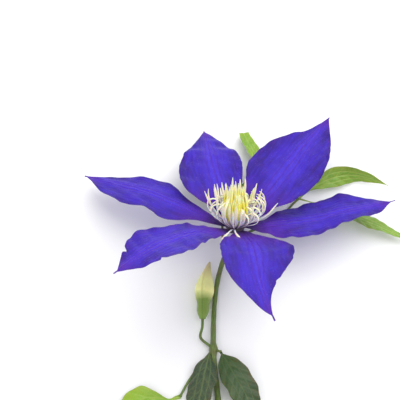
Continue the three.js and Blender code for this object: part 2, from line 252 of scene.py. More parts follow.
stem_green = stalk_finish("stem green", (0.17, 0.25, 0.05, 1), (0.07, 0.12, 0.03, 1),
                          (0.14, 0.06, 0.05, 1), 0.55)

bloom_height = (bloom_middle - below_bloom) / MM
stalk_top = bloom_height - bloom_axis * (RECEPTACLE_RIM + RECEPTACLE_FOOT - ROOTED)
stem_route = [CUT_END, STEM_RUN, LOWER_NODE, STEM_LANDING, UPPER_NODE,
              stalk_top - STRAIGHT_STALK * bloom_axis, stalk_top]
stem_frames = follow(stem_route, STEM_ROWS)
stem_turn = np.arange(STEM_SIDES) * 2 * math.pi / STEM_SIDES
bare = STEM_RADIUS + (STALK_RADIUS - STEM_RADIUS) * stem_frames["share"]
from_node = np.min([np.linalg.norm(stem_frames["at"] - node, axis=1)
                    for node in (LOWER_NODE, UPPER_NODE)], axis=0)
swollen = bare + NODE_SWELLING * np.exp(-((from_node / NODE_LENGTH) ** 2))
twist = 2.5 * stem_frames["share"][:, None]
ribs = 1 + 0.07 * np.cos(STEM_RIBS * (stem_turn + twist))
lumps = 1 + 0.03 * np.sin(stem_frames["share"][:, None] * 90 + 3 * np.cos(stem_turn))
stem_reach = swollen[:, None] * ribs * lumps * MM
stem_points, stem_faces, stem_rod = rod(on_table(stem_frames), stem_reach, sides=STEM_SIDES)
make_piece("stem_shoot", stem_points, stem_faces, stem_green, "stem", ["stem"], rod=stem_rod)

# ---- The leaves --------------------------------------------------------------------------------
# Thin green blades on wiry stalks, three main veins to a blade with small ones between. A pair of
# leaves of three leaflets grows at the upper joint, and smaller leaves at the lower one. Each stalk
# grows out of its joint, and each blade out of its stalk.

PETIOLE_RADIUS = 0.75
PETIOLE_ROOT = 0.6
PETIOLE_START = 2.4
PETIOLE_ROWS = 120
PETIOLE_SIDES = 14
LEAF_THICKNESS = 0.34
LEAF_CUP = 0.06
LEAF_ROWS = 150
LEAF_ACROSS = 56
MARGIN_THINNING = 0.65
REST_HEIGHT = 0.1
# Half widths of a blade as a share of its widest half width, from its stalk to its tip.
LEAF_OUTLINE = [0.08, 0.09, 0.62, 0.95, 1, 0.88, 0.64, 0.34, 0.03]
BLUNT_OUTLINE = [0.08, 0.2, 0.7, 0.95, 1, 1, 1, 0.98, 0.7]
BROAD_OUTLINE = [0.08, 0.6, 0.9, 1, 0.96, 0.84, 0.62, 0.34, 0.03]
# joint is where the stalk grows, and via and end are points that it passes on the table. A leaflet
# grows at a share of the stalk's length, and lift raises its foot. The lists of angles run evenly
# from a blade's foot to its tip.
LEAVES = {
    "leaf_right": {
        "joint": UPPER_NODE, "via": [[7, 5, 6], [22, 13, 3]], "end": [35, 26, 3.2],
        "leaflets": [
            {
                "azimuth": 38, "length": 50, "rise": [8, 6, -4, -8],
                "swerve": [0, -14, -44, -66], "roll": [0, 12, 56, 56], "half": 5.2,
            },
            {
                "azimuth": -20, "length": 62, "rise": [12, 2, -4, -6],
                "swerve": [0, -2, -4, -4], "roll": [-6, -30, -34, -24], "half": 6,
            },
            {
                "azimuth": 142, "length": 47, "rise": [10, 6, -6, -8],
                "swerve": [0, -8, -24, -32], "roll": [0, 10, 30, 20], "half": 4.2, "outline": BLUNT_OUTLINE,
            },
        ],
    },
    "leaf_left": {
        "joint": UPPER_NODE, "via": [[-6, 6, 5], [-5, 15, 3]], "end": [-1, 23, 3],
        "leaflets": [
            {
                "azimuth": 102, "length": 38, "rise": [10, 4, -6, -10],
                "swerve": [0, 2, 4, 4], "roll": [0, 8, 8, 4], "half": 8,
            },
            {
                "azimuth": 150, "length": 28, "rise": [10, 4, -8, -10],
                "swerve": [0, -2, -2, -2], "roll": [0, 0, 0, 0], "half": 7,
            },
            {
                "azimuth": 24, "length": 26, "rise": [12, 4, -10, -14],
                "swerve": [0, 10, 16, 20], "roll": [0, 0, 0, 0], "half": 7,
            },
        ],
    },
    "leaf_lower": {
        "joint": LOWER_NODE, "via": [[-17, -63, 2], [-23.5, -72, 1.6]], "end": [-27.5, -79.5, 2.4],
        "leaflets": [
            {
                "azimuth": 200, "length": 38, "rise": [12, 6, -6, -12],
                "swerve": [0, 4, 12, 18], "roll": [0, 6, 6, 0], "half": 12,
            },
            {
                "share": 0.08, "lift": 1.5, "azimuth": 256, "length": 44, "rise": [24, 6, -10, -14],
                "swerve": [0, 3, 0, 4], "roll": [0, 36, 30, 10], "half": 8, "outline": BROAD_OUTLINE,
            },
        ],
    },
    "leaf_lower_right": {
        "joint": LOWER_NODE, "via": [], "end": [-7.4, -57.6, 4.6],
        "leaflets": [
            {
                "azimuth": -64, "length": 42, "rise": [24, 4, -10, -14],
                "swerve": [0, 4, 0, -4], "roll": [0, -12, -12, -4], "half": 7.8, "outline": BROAD_OUTLINE,
            },
        ],
    },
}


def smooth(values, share):
    """A smooth curve through evenly spaced values, read at shares of its length."""
    values = np.asarray(values, float)
    if len(values) == 1:
        return np.full_like(share, values[0])
    before, after = 2 * values[0] - values[1], 2 * values[-1] - values[-2]
    held = np.concatenate([[before], values, [after]])
    place = np.clip(share, 0, 1) * (len(values) - 1)
    i = np.minimum(place.astype(int), len(values) - 2)
    f = place - i
    a, b, c, d = held[i], held[i + 1], held[i + 2], held[i + 3]
    return b + 0.5 * f * (c - a + f * (2 * a - 5 * b + 4 * c - d + f * (3 * b - a - 3 * c + d)))


def grow(start, shape, rows, before=0.0, beyond=0.0):
    """Frames along a midline that turns as its lists of angles say. before and beyond lengthen it."""
    length = shape["length"]
    share = np.linspace(-before / length, 1 + beyond / length, rows + 1)
    azimuth = np.radians(shape["azimuth"] + smooth(shape.get("swerve", [0]), share))
    rise = np.radians(smooth(shape["rise"], share))
    roll = np.radians(smooth(shape.get("roll", [0]), share))[:, None]
    flat = np.cos(rise)
    ahead = np.stack([flat * np.cos(azimuth), flat * np.sin(azimuth), np.sin(rise)], 1)
    level = np.stack([-np.sin(azimuth), np.cos(azimuth), 0 * azimuth], 1)
    above = np.cross(ahead, level)
    step = (length + before + beyond) / rows
    at = np.asarray(start) - ahead[0] * before + step * np.vstack([ahead[:1] * 0, ahead[:-1]]).cumsum(0)
    return {"at": at, "ahead": ahead, "left": level * np.cos(roll) + above * np.sin(roll),
            "up": above * np.cos(roll) - level * np.sin(roll), "share": share, "length": length}


def blade(frames, left, right, cup, thickness, across, relief):
    """Points, faces and facts of a thin blade, in the part's millimetres. left and right are half
    widths at each share of its length, and relief gives its surface's lift, veins and middle bar."""
    share = frames["share"][:, None]
    t = np.linspace(-1, 1, across + 1)[None, :]
    half = np.where(t > 0, left[:, None], right[:, None])
    x, y = t * half, share * frames["length"] + 0 * t
    lift, vein, bar = relief(t, half, x, y, share)
    middle = (
        frames["at"][:, None]
        + frames["left"][:, None] * x[..., None]
        + frames["up"][:, None] * (cup * half * np.abs(t) ** 1.6 + lift)[..., None]
    )
    normal = unit(np.cross(np.gradient(middle, axis=0), np.gradient(middle, axis=1)) + 1e-12)
    thin = (thickness / 2 * (1 - MARGIN_THINNING * t * t) + 0 * share)[..., None]
    upper, under = middle + normal * thin, middle - normal * thin
    rows, columns = x.shape
    count = rows * columns
    index = np.arange(count).reshape(rows, columns)
    top = grid_faces(rows - 1, columns)[:, ::-1]
    bottom = grid_faces(rows - 1, columns, count)

    def rim(edge):
        """Faces that close the blade along one edge, given in the order that faces them out."""
        a, b = edge[:-1], edge[1:]
        return np.stack([a, a + count, b + count, b], 1)

    def flat(values):
        return (values + 0 * x).reshape(-1)

    sides = [index[:, 0], index[::-1, -1], index[-1], index[0, ::-1]]
    faces = np.vstack([top, bottom, *map(rim, sides)])
    points = np.vstack([upper.reshape(-1, 3), under.reshape(-1, 3)])
    spot = [np.stack([flat(x), flat(y), flat(side)], 1) for side in (1, -1)]
    tint = np.stack([flat(vein), flat(bar), flat(share)], 1)
    margin = np.tile(flat(np.abs(t)), 2)
    return points, faces, {"spot": np.vstack(spot), "tint": np.vstack([tint, tint]), "margin": margin}


def rested(points):
    """The same blade, raised wherever its underside would be below the table."""
    raised = points.copy()
    count = len(points) // 2
    raised[:, 2] += np.tile(np.maximum(0, REST_HEIGHT * MM - points[count:, 2]), 2)
    return raised


def line(distance, width):
    """A soft line, 1 in its middle."""
    return np.exp(-((distance / width) ** 2))


def leaf_relief(wave):
    """Sunken veins, with the blade puffed up a little between them and waved at its margins."""
    def relief(t, half, x, y, share):
        midrib = line(x, 0.5)
        long_vein = line((np.abs(t) - 0.45) * half, 0.35) * (share < 0.85)
        branch = (y - 1.1 * np.abs(x) + wave) / 6
        twigs = line((branch - np.round(branch)) * 4, 0.32) * (1 - line(x, 0.4))
        vein = np.clip(np.maximum.reduce([midrib, 0.75 * long_vein, 0.5 * twigs]), 0, 1)
        puff = 0.16 * np.cos(2 * math.pi * branch) * np.minimum(1, half / 6)
        ruffle = 0.7 * np.abs(t) ** 3 * np.sin(y / 2.6 + wave * np.sign(t)) * np.minimum(1, half / 8)
        lift = -0.3 * midrib - 0.16 * long_vein - 0.1 * twigs - puff * (1 - vein) + ruffle
        return lift, vein, midrib
    return relief


def leaf_finish(name, sunny, shaded, under, veins):
    """Leaf skin: mottled green, paler along its veins and dull pale green underneath."""
    finish, shader = new_finish(name, 0.42, Specular_IOR_Level=0.4, Subsurface_Weight=0.2,
                                Subsurface_Scale=0.0015, Coat_Weight=0.08, Coat_Roughness=0.35)
    side = fact(finish, "spot")[2]
    vein = fact(finish, "tint")[0]
    place = add(finish, "TexCoord").outputs["Object"]
    mottle = noise(finish, place, 60.0, 5.0)
    cells = add(finish, "TexVoronoi", {"Vector": place, "Scale": 620.0}, feature="DISTANCE_TO_EDGE")
    net = between(finish, cells.outputs["Distance"], 0.12, 0.0)
    upper = blended(finish, between(finish, mottle, 0.35, 0.68), sunny, shaded)
    upper = tinted(finish, upper, vein, 0.65, veins)
    upper = tinted(finish, upper, net, 0.22, veins)
    lower = tinted(finish, under, net, 0.3, shaded)
    lower = tinted(finish, lower, vein, 0.5, veins)
    paint(finish, shader, blended(finish, math_of(finish, "GREATER_THAN", side, 0.0), lower, upper))
    fine = noise(finish, place, 1400.0, 3.0)
    height = math_of(finish, "SUBTRACT", math_of(finish, "MULTIPLY", fine, 0.4), net)
    bumpy(finish, shader, height, 0.35, 0.00012)
    return finish


bright_leaf = leaf_finish("bright leaf", (0.24, 0.42, 0.02, 1), (0.16, 0.33, 0.018, 1),
                          (0.22, 0.32, 0.10, 1), (0.36, 0.50, 0.09, 1))
young_leaf = leaf_finish("young leaf", (0.185, 0.36, 0.03, 1), (0.12, 0.27, 0.022, 1),
                         (0.22, 0.31, 0.11, 1), (0.36, 0.50, 0.10, 1))
grown_leaf = leaf_finish("grown leaf", (0.036, 0.085, 0.016, 1), (0.02, 0.055, 0.012, 1),
                         (0.10, 0.15, 0.07, 1), (0.08, 0.14, 0.04, 1))
dull_leaf = leaf_finish("dull leaf", (0.036, 0.072, 0.032, 1), (0.02, 0.045, 0.024, 1),
                        (0.10, 0.14, 0.07, 1), (0.16, 0.23, 0.07, 1))
LEAF_FINISHES = {
    "leaf_right": young_leaf, "leaf_right_leaflet_3": bright_leaf, "leaf_left": young_leaf,
    "leaf_lower_leaflet_1": bright_leaf, "leaf_lower_leaflet_2": dull_leaf,
    "leaf_lower_right": grown_leaf,
}


def make_leaf(name, leaf, seed):
    """A stalk and its blades. A leaf of one blade is a single CAD node, so both parts replace it."""
    simple = len(leaf["leaflets"]) == 1
    joint, via, end = np.array(leaf["joint"], float), leaf["via"], leaf["end"]
    out = unit(np.array((via or [end])[0], float) - joint)
    frames = follow([joint + PETIOLE_ROOT * out, joint + PETIOLE_START * out, *via, end], PETIOLE_ROWS)
    turn = np.arange(PETIOLE_SIDES) * 2 * math.pi / PETIOLE_SIDES
    radius = PETIOLE_RADIUS * (1 - 0.25 * frames["share"] + 0.7 * line(frames["share"], 0.05)
                               + 0.35 * line(frames["share"] - 1, 0.03))
    grooved = 1 + 0.06 * np.cos(5 * turn) - 0.14 * line(turn - math.pi / 2, 0.4)
    points, faces, place = rod(on_table(frames), radius[:, None] * grooved * MM, sides=PETIOLE_SIDES)
    make_piece(name + "_stalk", points, faces, stem_green, "leaf" if simple else "stem",
               [name if simple else name + "_petiole"], rod=place)
    for number, shape in enumerate(leaf["leaflets"], 1):
        node = name if simple else f"{name}_leaflet_{number}"
        turned = math.radians(shape["azimuth"])
        row = round(shape.get("share", 1) * PETIOLE_ROWS)
        foot = frames["at"][row] + [0, 0, shape.get("lift", 0)]
        start = foot + np.array([math.cos(turned), math.sin(turned), 0]) * 2 * PETIOLE_RADIUS
        lines = grow(start, shape, LEAF_ROWS, before=1.8, beyond=1.2)
        half = shape["half"] * smooth(shape.get("outline", LEAF_OUTLINE), lines["share"])
        half = np.maximum(half, 0.12) * (1 + 0.03 * np.sin(lines["share"] * 31 + seed + number))
        points, faces, facts = blade(lines, half, half, LEAF_CUP, LEAF_THICKNESS, LEAF_ACROSS,
                                     leaf_relief(seed + 2.0 * number))
        finish = LEAF_FINISHES.get(node) or LEAF_FINISHES[name]
        make_piece(node + "_blade", rested(points * MM + below_bloom), faces, finish, "leaf", [node],
                   **facts)


for seed, (name, leaf) in enumerate(LEAVES.items()):
    make_leaf(name, leaf, seed)

# ---- The bud -----------------------------------------------------------------------------------
# A closed flower, its four sepals folded edge to edge with a groove between raised lips at each
# seam. Green where it grows out of its thin stalk, it ripens to pale yellow and ends in a dry tan
# point.

BUD_FOOT = [-16.4, -41.2, 6]
BUD_STALK_VIA = [-17.4, -50, 2.8]
BUD_LENGTH = 30
BUD_RADIUS = 4.8
BUD_STALK_RADIUS = 0.7
BUD_AZIMUTH = 88
BUD_SWERVE = [0, -4, -14]
BUD_RISE = 4
BUD_OUTLINE = [0.3, 0.6, 0.62, 0.86, 1, 0.86, 0.6, 0.34, 0.08]
BUD_SEAMS = 4
BUD_SIDES = 64
BUD_ROWS = 90
BUD_STALK_START = 3
BUD_STALK_ROWS = 90

bud_frames = grow(BUD_FOOT, {"azimuth": BUD_AZIMUTH, "length": BUD_LENGTH, "rise": [BUD_RISE],
                             "swerve": BUD_SWERVE}, BUD_ROWS)
bud_turn = np.arange(BUD_SIDES) * 2 * math.pi / BUD_SIDES + 0.4 * bud_frames["share"][:, None]
seam = np.abs(np.sin(BUD_SEAMS / 2 * bud_turn))
nerve = np.abs(np.sin(BUD_SEAMS * 1.5 * bud_turn))
bud_girth = 1 - 0.11 * line(seam, 0.16) + 0.05 * line(seam - 0.3, 0.15) - 0.03 * line(nerve, 0.3)
bud_radius = BUD_RADIUS * smooth(BUD_OUTLINE, bud_frames["share"])[:, None] * bud_girth
bud_points, bud_faces, bud_rod = rod(on_table(bud_frames), bud_radius * MM, sides=BUD_SIDES)

bud_skin, bud_shader = new_finish("bud skin", 0.55, Specular_IOR_Level=0.35, Subsurface_Weight=0.25,
                                  Subsurface_Scale=0.002, Sheen_Weight=0.25)
bud_angle, _, bud_share = fact(bud_skin, "rod")
bud_object = add(bud_skin, "TexCoord").outputs["Object"]
bud_mottle = noise(bud_skin, bud_object, 160.0, 5.0)
bud_ripe = math_of(bud_skin, "ADD", bud_share, math_of(bud_skin, "MULTIPLY", bud_mottle, 0.16))
bud_colour = blended(bud_skin, between(bud_skin, bud_ripe, 0.38, 0.56), (0.13, 0.24, 0.03, 1),
                     (0.95, 0.95, 0.38, 1))
bud_colour = blended(bud_skin, between(bud_skin, bud_ripe, 0.72, 1.0), bud_colour,
                     (0.60, 0.50, 0.26, 1))
bud_round = add(bud_skin, "CombineXYZ", {0: bud_angle}).outputs[0]
bud_streak = add(bud_skin, "TexWave", {"Vector": bud_round, "Scale": 5.0, "Distortion": 2.0,
                                       "Detail": 2.0})
bud_colour = tinted(bud_skin, bud_colour, bud_streak.outputs["Fac"], 0.3, (0.50, 0.58, 0.14, 1))
paint(bud_skin, bud_shader, bud_colour)
bumpy(bud_skin, bud_shader, noise(bud_skin, bud_object, 1800.0, 3.0), 0.3, 0.00012)
make_piece("bud_sepals", bud_points, bud_faces, bud_skin, "bud", ["bud"], rod=bud_rod)

bud_heading = bud_frames["ahead"][0]
bud_out = unit(np.array(BUD_STALK_VIA) - LOWER_NODE)
bud_stalk_route = [LOWER_NODE + ROOTED * bud_out, LOWER_NODE + BUD_STALK_START * bud_out, BUD_STALK_VIA,
                   BUD_FOOT - STRAIGHT_STALK * bud_heading, BUD_FOOT + ROOTED * bud_heading]
bud_stalk_frames = follow(bud_stalk_route, BUD_STALK_ROWS)
bud_stalk_radius = BUD_STALK_RADIUS * (1 + 0.5 * line(bud_stalk_frames["share"], 0.05)
                                       + 0.6 * line(bud_stalk_frames["share"] - 1, 0.05))
points, faces, place = rod(on_table(bud_stalk_frames), bud_stalk_radius * MM, sides=PETIOLE_SIDES)
make_piece("bud_stalk_shoot", points, faces, stem_green, "stem", ["bud_stalk"], rod=place)

# ---- The receptacle ----------------------------------------------------------------------------
# The swollen end of the flower's stalk, a small dark cone stained with violet. The tepals grow round
# its rim, and the stamens and styles crowd on its top.

RECEPTACLE_DOME = 2.6
CONE_ROWS = 60
CONE_SIDES = 48


def leaned(vectors):
    """Vectors of an upright bloom, turned back by the bloom's lean."""
    c, s = math.cos(BLOOM_LEAN), math.sin(BLOOM_LEAN)
    return vectors @ np.array([[1, 0, 0], [0, c, s], [0, -s, c]]).T


def from_bloom(points):
    """Points, from millimetres in the leaning bloom to the part's own metres."""
    return leaned(points) * MM + bloom_middle


def in_bloom(frames):
    """The same frames, from millimetres in the leaning bloom to the part's own metres."""
    turned = {way: leaned(frames[way]) for way in ("ahead", "left", "up")}
    return {**frames, **turned, "at": from_bloom(frames["at"])}


cone_length = RECEPTACLE_FOOT + 2 * RECEPTACLE_RIM + RECEPTACLE_DOME
cone_frames = grow([0, 0, -RECEPTACLE_RIM - RECEPTACLE_FOOT],
                   {"azimuth": 0, "length": cone_length, "rise": [90]}, CONE_ROWS)
cone_turn = np.arange(CONE_SIDES) * 2 * math.pi / CONE_SIDES
cone_girth = smooth([0.26, 0.3, 0.46, 0.86, 1.0, 0.97, 0.7, 0.4, 0.12], cone_frames["share"])
cone_bumps = 1 + 0.04 * np.cos(12 * cone_turn) * line(cone_frames["share"] - 0.5, 0.2)[:, None]
cone_reach = RECEPTACLE_RADIUS * cone_girth[:, None] * cone_bumps * MM
points, faces, place = rod(in_bloom(cone_frames), cone_reach, sides=CONE_SIDES)
receptacle_green = stalk_finish("receptacle green", (0.07, 0.06, 0.06, 1), (0.05, 0.05, 0.04, 1),
                                (0.04, 0.012, 0.07, 1), 0.95)
make_piece("receptacle_cone", points, faces, receptacle_green, "stem", ["receptacle"], rod=place)

# ---- The tepals --------------------------------------------------------------------------------
# Six soft violet blades. A raised bar with three grooves runs down the middle of each, fine veins fan
# out from it, and the margins are waved and here and there torn. Each is held by its narrow foot.

TEPAL_THICKNESS = 0.42
TEPAL_GAP = 0.3
TEPAL_ROWS = 210
TEPAL_ACROSS = 96
TEPAL_SEED = 40
FRAY_WAVES = (23, 41, 67, 97)
VIOLET = (0.041, 0.013, 0.42, 1)
VIOLET_DEEP = (0.031, 0.009, 0.22, 1)
# The paler violet: the colour of the light streaks, and a painted highlight along each tepal's middle bar.
VIOLET_PALE_AND_HIGHLIGHT = (0.067, 0.031, 0.60, 1)
PURPLE = (0.082, 0.012, 0.29, 1)
# Near black: painted shade at the tepals' feet, under the crowded stamens.
PAINTED_FOOT_SHADE = (0.028, 0.008, 0.09, 1)
UNDERSIDE = (0.16, 0.10, 0.42, 1)
SPECK = (0.34, 0.30, 0.72, 1)
# azimuth is where a tepal stands round the bloom. rise, swerve and roll run evenly from foot to tip,
# left and right are half widths, cup lifts the margins, hair is how far the tip is drawn out, and
# tears are (side, share, depth, length).
TEPALS = {
    "right": {
        "azimuth": 13, "length": 78, "rise": [-8, 0, 8, 2], "swerve": [0],
        "roll": [0], "cup": 0.05,
        "left": [0.8, 6, 12, 14, 15, 10.5, 0.2],
        "right": [2, 10, 15, 12, 9.5, 8, 0.2],
        "hair": 2.4, "tears": [("right", 0.62, 1.0, 0.03)],
    },
    "back_right": {
        "azimuth": 43, "length": 80, "rise": [26, 22, 20, 18], "swerve": [0, 8, 10, 2],
        "roll": [0], "cup": 0.1,
        "left": [2, 9, 17.5, 21, 17, 6, 0.2],
        "right": [0.8, 9, 18, 20, 17.5, 10.5, 0.2],
        "hair": 0.6, "tears": [],
    },
    "back_left": {
        "azimuth": 110, "length": 70, "rise": [30, 20, 6, -6], "swerve": [0, -4, -14, -10],
        "roll": [0], "cup": 0.05,
        "left": [1, 9, 18, 18, 14, 7, 0.2],
        "right": [2, 8, 13, 15.5, 14.5, 8, 0.2],
        "hair": 0.6, "tears": [],
    },
    "left": {
        "azimuth": 153, "length": 83, "rise": [6, 9, 0, -6], "swerve": [0],
        "roll": [0], "cup": 0.05,
        "left": [2, 7, 14, 13, 14, 9, 0.2],
        "right": [0.8, 3.5, 8, 13, 11, 6, 0.2],
        "hair": 1.2, "tears": [],
    },
    "front_left": {
        "azimuth": 226, "length": 76, "rise": [24, 20, 4, -12], "swerve": [0],
        "roll": [0], "cup": 0.15,
        "left": [2, 6, 9, 12.5, 13, 9, 0.2],
        "right": [2, 5, 8, 9.5, 13, 9, 0.2],
        "hair": 2, "tears": [("right", 0.85, 2.2, 0.012), ("left", 0.76, 1.6, 0.014)],
    },
    "front": {
        "azimuth": 295, "length": 62.5, "rise": [12, 6, -14, -34], "swerve": [0, -18, -18, 0],
        "roll": [-6, -8, -6, 0], "cup": 0.2,
        "left": [2, 7.5, 18, 17, 10.5, 3.5, 0.2],
        "right": [2, 10, 16, 17, 15, 8, 0.2],
        "hair": 2.6, "tears": [("left", 0.72, 0.9, 0.02)],
    },
}


def uneven(chance, lengths, size):
    """A smooth, uneven value over a surface: a few waves of random direction and phase."""
    waves = [(2 * math.pi / length, chance.uniform(0, 2 * math.pi), chance.uniform(0, 2 * math.pi))
             for length in lengths]

    def value(x, y):
        total = sum(np.sin(k * (x * math.cos(way) + y * math.sin(way)) + phase)
                    for k, way, phase in waves)
        return size * total / len(waves)
    return value


def tepal_relief(chance):
    """A raised bar with three grooves, puckers between the veins and a waved margin."""
    dents = uneven(chance, [34, 27, 21, 17, 12], 1.3)
    puckers = uneven(chance, [13, 10, 7.5, 6, 5], 0.34)
    ruffle = uneven(chance, [30, 19, 13, 9], 1.2)

    def relief(t, half, x, y, share):
        spread = 0.17 * half * (1 - 0.3 * share) + 0.5
        beside = np.abs(x) - spread
        groove = line(x, 0.5) + 0.8 * line(beside, 0.45)
        bar = line(x, 2.1 * spread)
        fan = np.cos(2 * math.pi * (np.abs(t) ** 0.85 * 7 + 0.15 * np.sin(y / 6)))
        vein = np.clip(groove * (share < 0.97), 0, 1)
        lift = 0.8 * bar - 0.4 * groove * np.clip(1 - share, 0, 1) ** 0.3
        lift = lift + 0.03 * fan * np.minimum(1, half / 8) + puckers(x, y)
        lift = lift + dents(0.5 * x, y) * np.abs(t) ** 0.6
        lift = lift + ruffle(x * 0.3, y) * np.abs(t) ** 3 * np.minimum(1, half / 10)
        return lift * np.clip(share * 8, 0, 1), vein, bar
    return relief


def tepal_widths(shape, share, chance):
    """Half widths at the left and right margins, frayed a little, with any tears cut in, and drawn
    out past the tip into a fine hair."""
    widths = []
    for side in ("left", "right"):
        half = smooth(shape[side], share)
        fray = sum(chance.uniform(0.3, 1) * np.sin(k * share + chance.uniform(0, 6)) for k in FRAY_WAVES)
        half = half * (1 + 0.022 * fray / len(FRAY_WAVES))
        for where, middle, depth, length in shape["tears"]:
            if where == side:
                half = half - depth * line(share - middle, length)
        hair = 0.3 - 0.22 * np.clip((share - 1) * 25, 0, 1)
        widths.append(np.maximum(half, hair))
    return widths


violet, violet_shader = new_finish(
    "tepal violet", 0.55, Specular_IOR_Level=0.22, Subsurface_Weight=0.12, Subsurface_Scale=0.0012,
    Sheen_Weight=0.06, Sheen_Roughness=0.4)
violet_spot = add(violet, "Attribute", attribute_name="spot").outputs["Vector"]
violet_side = fact(violet, "spot")[2]
violet_vein, violet_bar, violet_share = fact(violet, "tint")
violet_margin = add(violet, "Attribute", attribute_name="margin").outputs["Fac"]
violet_place = add(violet, "TexCoord").outputs["Object"]


def stretched(across, along):
    """Where a spot is on a blade, scaled so that what is drawn there runs lengthwise."""
    return add(violet, "Mapping", {"Vector": violet_spot, "Scale": (across, along, 1.0)}).outputs[0]


streaks = noise(violet, stretched(1.0, 0.14), 0.7, 6.0, 0.6)
patches = noise(violet, stretched(1.0, 0.4), 0.16, 4.0)
net_cells = add(violet, "TexVoronoi", {"Vector": stretched(1.0, 0.3), "Scale": 0.85},
                feature="DISTANCE_TO_EDGE")
net_veins = between(violet, net_cells.outputs["Distance"], 0.1, 0.0)
specks = add(violet, "TexVoronoi", {"Vector": violet_spot, "Scale": 0.75})
violet_colour = blended(violet, between(violet, patches, 0.4, 0.6), VIOLET_DEEP, VIOLET)
# From the bottom coat to the top one: where each tint shows, its most, and the tint.
VIOLET_TINTS = [
    # Painted highlight: the raised middle bar is painted paler, as if lit along its ridge.
    (violet_bar, 0.9, VIOLET_PALE_AND_HIGHLIGHT),
    (between(violet, streaks, 0.45, 0.75), 0.5, VIOLET_PALE_AND_HIGHLIGHT),
    (between(violet, streaks, 0.5, 0.28), 0.5, VIOLET_DEEP),
    (net_veins, 0.16, VIOLET_DEEP),
    (violet_vein, 0.5, PURPLE),
    (between(violet, violet_margin, 0.82, 1.0), 0.6, VIOLET_DEEP),
    (between(violet, specks.outputs["Distance"], 0.16, 0.06), 0.3, SPECK),
    (between(violet, violet_share, 0.88, 1.0), 0.8, PURPLE),
    (between(violet, violet_share, 0.36, 0.08), 0.9, PURPLE),
    # Near black at the very foot: painted shade, where the tepals pass under the crowded stamens.
    (between(violet, violet_share, 0.15, 0.02), 1.0, PAINTED_FOOT_SHADE),
]
for shown, most, tint in VIOLET_TINTS:
    violet_colour = tinted(violet, violet_colour, shown, most, tint)
paler = blended(violet, 0.4, violet_colour, UNDERSIDE)
violet_colour = blended(violet, math_of(violet, "GREATER_THAN", violet_side, 0.0), paler, violet_colour)
paint(violet, violet_shader, violet_colour)
skin = noise(violet, violet_place, 1500.0, 3.0)
violet_height = math_of(violet, "SUBTRACT", math_of(violet, "MULTIPLY", skin, 0.35), net_veins)
violet_height = math_of(violet, "ADD", violet_height, math_of(violet, "MULTIPLY", streaks, 1.2))
bumpy(violet, violet_shader, violet_height, 0.4, 0.0002)

for seed, (name, shape) in enumerate(TEPALS.items()):
    chance = np.random.default_rng(TEPAL_SEED + seed)
    turned = math.radians(shape["azimuth"])
    foot = (RECEPTACLE_RADIUS + TEPAL_GAP) * np.array([math.cos(turned), math.sin(turned), 0])
    lines = grow(foot, shape, TEPAL_ROWS, before=1.4, beyond=shape["hair"])
    left, right = tepal_widths(shape, lines["share"], chance)
    points, faces, facts = blade(lines, left, right, shape["cup"], TEPAL_THICKNESS, TEPAL_ACROSS,
                                 tepal_relief(chance))
    make_piece("tepal_" + name + "_blade", rested(from_bloom(points)), faces, violet, "tepal",
               ["tepal_" + name], **facts)

# ---- The stamens -------------------------------------------------------------------------------
# Ribbon-like filaments, white, each running up into a long cream anther, and grey violet at the foot,
# where painted shade stands for their crowding on the cone. They grow in whorls round the cone. Old
# outer ones curl over, and young inner ones stand.

# tuft is how many threads stand at each place of a whorl, and lean is from the bloom's axis at the
# foot. The heads bow over inwards by bow. Those on the right lean out further by TILT. Those in front
# stand up more by STAND and are shorter by the share short, so that the styles show, and those behind
# are shorter by BACK_SHORTER. None leans out further than FURTHEST_LEAN. Some heads curl over by an
# angle between the two of CURL. Each thread of a tuft grows TUFT_DEPTH nearer the middle than the last.
WHORLS = {
    "outer": {"count": 14, "tuft": 3, "foot": 3.6, "length": 23.5, "lean": 62, "bow": 44, "turn": 0,
              "short": 0.25},
    "middle": {"count": 12, "tuft": 3, "foot": 3, "length": 21.5, "lean": 44, "bow": 28, "turn": 9,
               "short": 0.5},
    "inner": {"count": 10, "tuft": 2, "foot": 2.4, "length": 20.5, "lean": 27, "bow": 18, "turn": 18,
              "short": 0.65},
}
TILT = 9
STAND = 20
BACK_SHORTER = 0.12
FURTHEST_LEAN = 68
CURL = (70, 190)
FILAMENT_WIDTH = 0.46
ANTHER_WIDTH = 0.6
STAMEN_ROWS = 40
STAMEN_SIDES = 10
STAMEN_SEED = 70
TUFT_DEPTH = 0.35
STRAY_FOOT = 4.2


def cone_height(radius):
    """How high the cone's top stands at a distance from its middle."""
    return RECEPTACLE_RIM + RECEPTACLE_DOME * (1 - radius / RECEPTACLE_RADIUS)


def stamen(foot, azimuth, shape, chance):
    """Points, faces and facts of one stamen, from its foot on the cone to the tip of its anther."""
    turned = math.radians(azimuth)
    start = [foot * math.cos(turned), foot * math.sin(turned), cone_height(foot)]
    frames = grow(start, {**shape, "azimuth": azimuth}, STAMEN_ROWS, before=0.8)
    share = np.clip(frames["share"], 0, 1)
    size = chance.uniform(0.85, 1.1)
    wide = size * smooth([0.36, FILAMENT_WIDTH, FILAMENT_WIDTH, 0.4, ANTHER_WIDTH, ANTHER_WIDTH, 0.15],
                         share)
    thick = size * smooth([0.22, 0.2, 0.18, 0.2, 0.38, 0.36, 0.12], share)
    return rod(in_bloom(frames), wide * MM, thick * MM, sides=STAMEN_SIDES)


